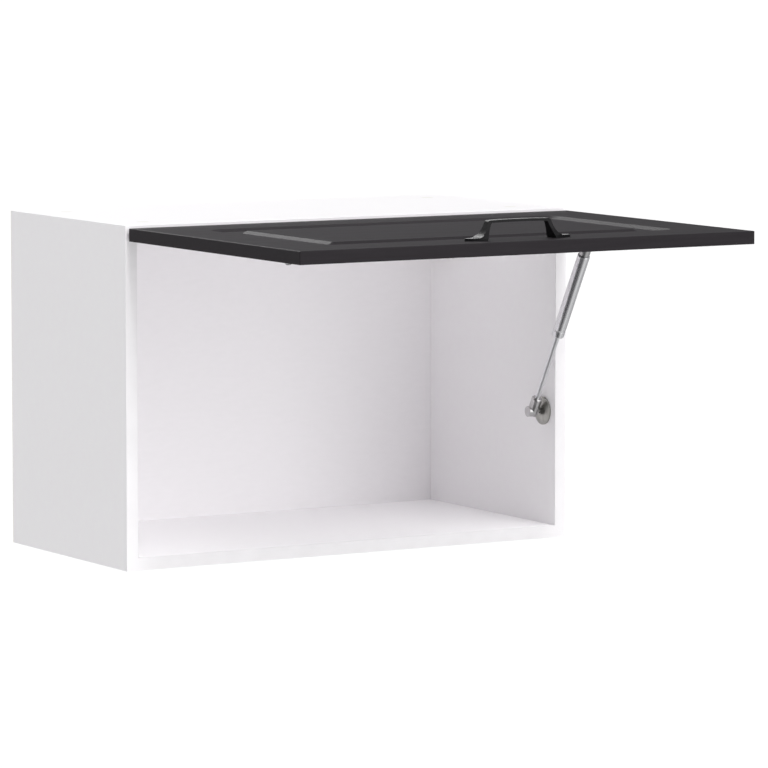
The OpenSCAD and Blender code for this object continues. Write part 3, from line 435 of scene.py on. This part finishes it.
screwMake = {
    "ridge": 0.24,  # a thread's ridge, as a share of the pitch
    "core": 1.4,  # how deep the thread is cut, in ridges
    "recessSunk": 0.62, "recessPan": 0.6,  # width of the cross recess, as a share of the head's
    "recessSlot": 0.24, "recessTaper": 0.5,  # width of a slot and of its foot, as shares of length and top
    "recessDepth": 0.75,  # as a share of the head's height
    "panTop": 0.82, "panDome": 0.3,  # a pan head's flat width and its dome's height, as shares of the head's
    "grubOver": 0.5, "grubHead": 0.9,  # mm; a screw wider than its shank by less than this is headless
    "woodTip": 2, "woodPoint": 0.1,  # length and end radius of a pointed tip, in shank radii
    "bluntTip": 0.3, "bluntPoint": 0.7,  # and of a blunt one
    "headSides": 28, "headSteps": 2, "headRings": 4, "shankSides": 16, "threadSides": 3, "threadSteps": 12,
    "turnSeed": 7,  # each screw stops at its own angle
}
screwSizes = ("Head Top Radius", "Head Base Radius", "Head Height", "Dome", "Shank Radius", "Length", "Tip",
              "Tip Radius", "Pitch", "Recess Width", "Recess Depth")


def makeScrewTree(make):
    tree, given = startTree("screwMaker", "Points", screwSizes, "Screws")

    def maths(kind, a, b, c=0.0):
        return addNode(tree, "ShaderNodeMath", {0: a, 1: b, 2: c}, operation=kind).outputs[0]

    def moved(part, z):
        along = addNode(tree, "ShaderNodeCombineXYZ", {"Z": z}).outputs[0]
        return addNode(tree, "GeometryNodeTransform", {"Geometry": part, "Translation": along}).outputs[0]

    where = addNode(tree, "GeometryNodeInputPosition").outputs[0]
    apart = addNode(tree, "ShaderNodeSeparateXYZ", {0: where}).outputs

    # head: a cone with a ringed top, whose rings rise to a dome
    tall = maths("SUBTRACT", given["Head Height"], given["Dome"])
    head = addNode(tree, "GeometryNodeMeshCone", {
        "Vertices": make["headSides"], "Side Segments": make["headSteps"], "Fill Segments": make["headRings"],
        "Radius Top": given["Head Top Radius"], "Radius Bottom": given["Head Base Radius"], "Depth": tall,
    }).outputs["Mesh"]
    squares = [maths("MULTIPLY", apart[axis], apart[axis]) for axis in ("X", "Y")]
    across = maths("SQRT", maths("ADD", *squares), 0)
    share = maths("DIVIDE", across, given["Head Top Radius"])
    rise = maths("MULTIPLY", given["Dome"], maths("SUBTRACT", 1, maths("MULTIPLY", share, share)))
    onTop = maths("GREATER_THAN", apart["Z"], maths("SUBTRACT", tall, samePoint))
    lift = addNode(tree, "ShaderNodeCombineXYZ", {"Z": maths("MAXIMUM", rise, 0)}).outputs[0]
    head = addNode(tree, "GeometryNodeSetPosition", {
        "Geometry": head, "Selection": onTop, "Offset": lift}).outputs[0]
    head = moved(head, maths("MULTIPLY", given["Head Height"], -1))

    # cross recess: two slots that narrow downwards
    slots = []
    for turn in (0, pi / 2):
        size = addNode(tree, "ShaderNodeCombineXYZ", {
            "X": given["Recess Width"], "Y": maths("MULTIPLY", given["Recess Width"], make["recessSlot"]),
            "Z": maths("MULTIPLY", given["Recess Depth"], 2)}).outputs[0]
        slot = addNode(tree, "GeometryNodeMeshCube", {"Size": size}).outputs["Mesh"]
        narrow = addNode(tree, "ShaderNodeVectorMath", {
            0: where, 1: (make["recessTaper"], make["recessTaper"], 1)}, operation="MULTIPLY").outputs[0]
        low = maths("LESS_THAN", apart["Z"], 0)
        slot = addNode(tree, "GeometryNodeSetPosition", {
            "Geometry": slot, "Selection": low, "Position": narrow}).outputs[0]
        slots.append(addNode(tree, "GeometryNodeTransform", {
            "Geometry": slot, "Rotation": (0, 0, turn)}).outputs[0])
    cut = addNode(tree, "GeometryNodeMeshBoolean", {"Mesh 1": head}, operation="DIFFERENCE",
                  solver="MANIFOLD")
    for slot in slots:
        tree.links.new(slot, cut.inputs["Mesh 2"])
    hasRecess = maths("GREATER_THAN", given["Recess Width"], samePoint)
    head = addNode(tree, "GeometryNodeSwitch", {"Switch": hasRecess, "False": head, "True": cut.outputs[0]},
                   input_type="GEOMETRY").outputs[0]

    # shank, tip and a spiral ridge for the thread
    ridge = maths("MULTIPLY", given["Pitch"], make["ridge"])
    core = maths("MULTIPLY_ADD", ridge, -make["core"], given["Shank Radius"])
    straight = maths("SUBTRACT", maths("SUBTRACT", given["Length"], given["Head Height"]), given["Tip"])
    shank = addNode(tree, "GeometryNodeMeshCone", {
        "Vertices": make["shankSides"], "Radius Top": core, "Radius Bottom": core, "Depth": straight,
    }).outputs["Mesh"]
    shank = moved(shank, maths("SUBTRACT", given["Tip"], given["Length"]))
    tip = addNode(tree, "GeometryNodeMeshCone", {
        "Vertices": make["shankSides"], "Radius Top": core, "Radius Bottom": given["Tip Radius"],
        "Depth": given["Tip"]}).outputs["Mesh"]
    tip = moved(tip, maths("MULTIPLY", given["Length"], -1))
    radius = maths("SUBTRACT", given["Shank Radius"], ridge)
    spiral = addNode(tree, "GeometryNodeCurveSpiral", {
        "Resolution": make["threadSteps"], "Rotations": maths("DIVIDE", straight, given["Pitch"]),
        "Start Radius": radius, "End Radius": radius, "Height": straight}).outputs[0]
    spiral = addNode(tree, "GeometryNodeSetCurveNormal", {"Curve": spiral}, mode="Z_UP").outputs[0]
    outline = addNode(tree, "GeometryNodeCurvePrimitiveCircle", {
        "Resolution": make["threadSides"], "Radius": ridge}, mode="RADIUS").outputs[0]
    thread = addNode(tree, "GeometryNodeCurveToMesh", {
        "Curve": spiral, "Profile Curve": outline, "Fill Caps": True}).outputs[0]
    thread = moved(thread, maths("SUBTRACT", given["Tip"], given["Length"]))

    whole = addNode(tree, "GeometryNodeJoinGeometry")
    for part in (head, shank, tip, thread):
        tree.links.new(part, whole.inputs[0])
    looks = addNode(tree, "GeometryNodeInputNamedAttribute", {"Name": "looks"},
                    data_type="FLOAT_VECTOR").outputs[0]
    turned = addNode(tree, "FunctionNodeAlignRotationToVector", {"Vector": looks}, axis="Z").outputs[0]
    angle = addNode(tree, "FunctionNodeRandomValue", {2: 0.0, 3: 2 * pi, "Seed": make["turnSeed"]}).outputs[1]
    spin = addNode(tree, "FunctionNodeAxisAngleToRotation", {"Axis": (0, 0, 1), "Angle": angle}).outputs[0]
    turned = addNode(tree, "FunctionNodeRotateRotation", {"Rotation": turned, "Rotate By": spin},
                     rotation_space="LOCAL").outputs[0]
    copies = addNode(tree, "GeometryNodeInstanceOnPoints", {
        "Points": given["Points"], "Instance": whole.outputs[0], "Rotation": turned}).outputs[0]
    return endTree(tree, copies, given, "Screws")


def solidsOf(nodeName):
    # the boxes of a CAD node's separate solids
    copy = mergedCopy(nodeName)
    left, boxes = set(copy.verts), []
    while left:
        group, stack = [], [left.pop()]
        while stack:
            vert = stack.pop()
            group.append(vert.co)
            for edge in vert.link_edges:
                other = edge.other_vert(vert)
                if other in left:
                    left.remove(other)
                    stack.append(other)
        boxes.append((Vector([min(c[i] for c in group) for i in range(3)]),
                      Vector([max(c[i] for c in group) for i in range(3)])))
    copy.free()
    return sorted(boxes, key=lambda box: tuple(round(c, 5) for c in box[0]))


def alikeSolids(node, looks):
    # the heads' tops of a node's screws, under their width and length
    axis = max(range(3), key=lambda i: abs(looks[i]))
    groups = {}
    for low, high in solidsOf(node):
        size = high - low
        top = (low + high) / 2
        top[axis] = high[axis] if looks[axis] > 0 else low[axis]
        width = max(size[i] for i in range(3) if i != axis)
        groups.setdefault((round(width, 4), round(size[axis], 4)), []).append(top)
    return groups


def makeScrews(tree, node, setup, make):
    looks = Vector(ways[setup["looks"]])
    sunk, nail = "sunk" in setup, setup.get("nail", False)
    pointed = sunk or nail
    shank = setup["shank"] * mm / 2
    meshes = []
    for (width, length), points in alikeSolids(node, looks).items():
        headHeight = (setup["sunk"] if sunk else setup["pan"]) * mm
        if width < 2 * shank + make["grubOver"] * mm and not nail:
            headHeight = make["grubHead"] * mm
        meshes.append(makeByNodes(tree, setup["piece"], {
            "Head Top Radius": width / 2 * (1 if sunk else make["panTop"]),
            "Head Base Radius": shank if sunk else width / 2,
            "Head Height": headHeight,
            "Dome": 0 if sunk else headHeight * make["panDome"],
            "Shank Radius": shank,
            "Length": length,
            "Tip": shank * make["woodTip" if pointed else "bluntTip"],
            "Tip Radius": shank * make["woodPoint" if pointed else "bluntPoint"],
            "Pitch": setup["pitch"] * mm,
            "Recess Width": 0 if nail else width * make["recessSunk" if sunk else "recessPan"],
            "Recess Depth": headHeight * make["recessDepth"],
            "Finish": finishes[slotOf[node]],
        }, points, looks=looks))
    joined = bmesh.new()
    for mesh in meshes:
        joined.from_mesh(mesh)
    return putPiece(setup["piece"], meshFrom(joined, setup["piece"]), slotOf[node], bodyOf[node], node)


screwTree = makeScrewTree(screwMake)
for nodeName, setup in screwSets.items():
    made = makeScrews(screwTree, nodeName, setup, screwMake)
    print("screws:", made.name, len(made.data.polygons), "faces")


# Rounded edges: cast, moulded and pressed parts have them, and they catch the light
softEdges = {  # by CAD node: the piece, and the radius in mm
    "handle": ("bowHandle", 0.7), "front_edge_bands": ("edgeBands", 0.4),
    "strut_bracket": ("flapBracket", 0.3), "strut_base_cover": ("baseCover", 0.25),
    "strut_lower_socket": ("lowerSocket", 0.35), "strut_upper_socket": ("upperSocket", 0.35),
    "strut_rod": ("pistonRod", 0.2),
    "hinge_arm_left": ("leftArm", 0.2), "hinge_arm_right": ("rightArm", 0.2),
    "hinge_plate_left": ("leftPlate", 0.25), "hinge_plate_right": ("rightPlate", 0.25),
    "hinge_cup_left": ("leftCup", 0.2), "hinge_cup_right": ("rightCup", 0.2),
    "hanger_housing_left": ("leftHanger", 0.5), "hanger_housing_right": ("rightHanger", 0.5),
    "hanger_hook_left": ("leftHook", 0.25), "hanger_hook_right": ("rightHook", 0.25),
}
softMake = {
    "flat": 0.5,  # degrees; faces that meet at less are joined to one
    "sharp": 32,  # degrees; edges that turn more are rounded
    "steps": 3,  # faces across a rounded edge
    "weight": 80,  # how far large faces rule the shading beside them
}


def makeSoft(node, name, radius, make):
    work = mergedCopy(node)
    bmesh.ops.dissolve_limit(work, angle_limit=radians(make["flat"]), verts=work.verts, edges=work.edges)
    mesh = meshFrom(work, name)
    mesh.shade_smooth()
    holder = addObject(name, mesh)
    bevel = holder.modifiers.new("bevel", "BEVEL")
    bevel.width, bevel.segments = radius * mm, make["steps"]
    bevel.limit_method, bevel.angle_limit = "ANGLE", radians(make["sharp"])
    holder.modifiers.new("normals", "WEIGHTED_NORMAL").weight = make["weight"]
    return putPiece(name, plainMesh(holder), slotOf[node], bodyOf[node], node, smooth=0)


for nodeName, (pieceName, radius) in softEdges.items():
    made = makeSoft(nodeName, pieceName, radius, softMake)
    print("rounded edges:", made.name, len(made.data.polygons), "faces")


# The gas strut's tube: rolled in round the rod and at its rear end, with the bead that holds guide and seal
tubeSet = {  # mm, from the tube's lower end; radii from its middle
    "wall": 1.0, "rodHole": 3.3, "rollIn": 1.5,
    "bead": 9.5, "beadDepth": 0.55, "beadHalf": 1.5,  # where its middle is, how deep, half of its width
    "rearRoll": 1.2, "rearHole": 4.1, "rearLip": 0.4,
    "steps": 64,  # round the tube
}


def alongStrut(node):
    # where a node starts and ends along the strut, in metres from the upper ball
    steps = [(vert.co - upperBall).dot(strutAxis) for vert in cadNodes[node].data.vertices]
    return min(steps), max(steps)


def lathe(name, outline, steps):
    # a closed outline of (radius, height) turned round the strut's axis
    side = Vector((1, 0, 0))
    across = strutAxis.cross(side)
    points, faces, count = [], [], len(outline)
    for i in range(steps):
        turn = 2 * pi * i / steps
        out = side * cos(turn) + across * sin(turn)
        points += [upperBall + out * r + strutAxis * h for r, h in outline]
        here, ahead = i * count, (i + 1) % steps * count
        for j in range(count):
            after = (j + 1) % count
            faces.append((here + j, here + after, ahead + after, ahead + j))
    work = bmesh.new()
    verts = [work.verts.new(point) for point in points]
    for face in faces:
        work.faces.new([verts[i] for i in face])
    bmesh.ops.recalc_face_normals(work, faces=work.faces)
    return meshFrom(work, name)


def makeTube(setup):
    low, high = alongStrut("strut_tube")
    radius = (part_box("strut_tube")[1][0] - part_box("strut_tube")[0][0]) / 2
    inner = radius - setup["wall"] * mm
    keys = ("rodHole", "rollIn", "bead", "beadDepth", "beadHalf", "rearRoll", "rearHole", "rearLip")
    hole, roll, bead, deep, half, rear, rearHole, lip = [setup[key] * mm for key in keys]
    quarter = [pi / 8 * i for i in range(5)]  # the turns of a rolled end
    outline = [(hole, low), (radius - roll, low)]
    outline += [(radius - roll + roll * sin(a), low + roll - roll * cos(a)) for a in quarter[1:]]
    outline += [(radius - deep * (1 + cos(pi * t)) / 2, low + bead + half * t)
                for t in [i / 4 for i in range(-4, 5)]]
    outline += [(radius - rear + rear * cos(a), high - rear + rear * sin(a)) for a in quarter]
    outline += [(rearHole, high), (rearHole, high - lip), (inner, high - lip), (inner, low + roll),
                (hole, low + roll)]
    return putPiece("gasTube", lathe("gasTube", outline, setup["steps"]), "strut_paint", "strut_tube",
                    "strut_tube")


tube = makeTube(tubeSet)
print("tube:", len(tube.data.polygons), "faces")


# Spring clips that keep the sockets on their balls: wire bent round a socket's head, legs beside its shank
clipSet = {  # mm
    "wire": 0.55,  # radius
    "half": 6.9,  # half the clip's width
    "reach": 7.5,  # from the ball along the shank
    "hook": 2.0,  # how far the legs' ends turn in
    "aside": 1.6,  # from the ball's middle to the side panel
    "bendSteps": 12, "wireSides": 12,
}


def makeWireTree(setup):
    tree, given = startTree("wireMaker", "Path", ("Bend Radius", "Wire Radius"), "Wire")
    path = addNode(tree, "GeometryNodeMeshToCurve", {"Mesh": given["Path"]}).outputs[0]
    bent = addNode(tree, "GeometryNodeFilletCurve", {
        "Curve": path, "Count": setup["bendSteps"], "Radius": given["Bend Radius"], "Limit Radius": True,
    }, mode="POLY").outputs[0]
    outline = addNode(tree, "GeometryNodeCurvePrimitiveCircle", {
        "Resolution": setup["wireSides"], "Radius": given["Wire Radius"]}, mode="RADIUS").outputs[0]
    wire = addNode(tree, "GeometryNodeCurveToMesh", {
        "Curve": bent, "Profile Curve": outline, "Fill Caps": True}).outputs[0]
    return endTree(tree, wire, given, "Wire")


def makeClip(tree, name, ball, shank, body, setup):
    across = shank.cross(Vector((1, 0, 0)))
    half, reach, hook = setup["half"] * mm, setup["reach"] * mm, setup["hook"] * mm
    middle = ball + Vector((setup["aside"] * mm, 0, 0))
    path = [(half - hook, reach + hook), (half, reach), (half, -half), (-half, -half), (-half, reach),
            (hook - half, reach + hook)]
    points = [middle + across * a + shank * b for a, b in path]
    mesh = makeByNodes(tree, name, {
        "Bend Radius": half, "Wire Radius": setup["wire"] * mm, "Finish": finishes["nickel"],
    }, points, [(i, i + 1) for i in range(len(points) - 1)])
    return putPiece(name, mesh, "nickel", body)


wireTree = makeWireTree(clipSet)
lowerBall = sum((Vector(corner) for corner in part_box("strut_lower_ball")), Vector()) / 2
lowerBall.x = upperBall.x
for name, ball, shank, body in (("lowerClip", lowerBall, strutAxis, "strut_rod"),
                                ("upperClip", upperBall, -strutAxis, "strut_tube")):
    clip = makeClip(wireTree, name, ball, shank, body, clipSet)
    print("clip:", name, len(clip.data.polygons), "faces")
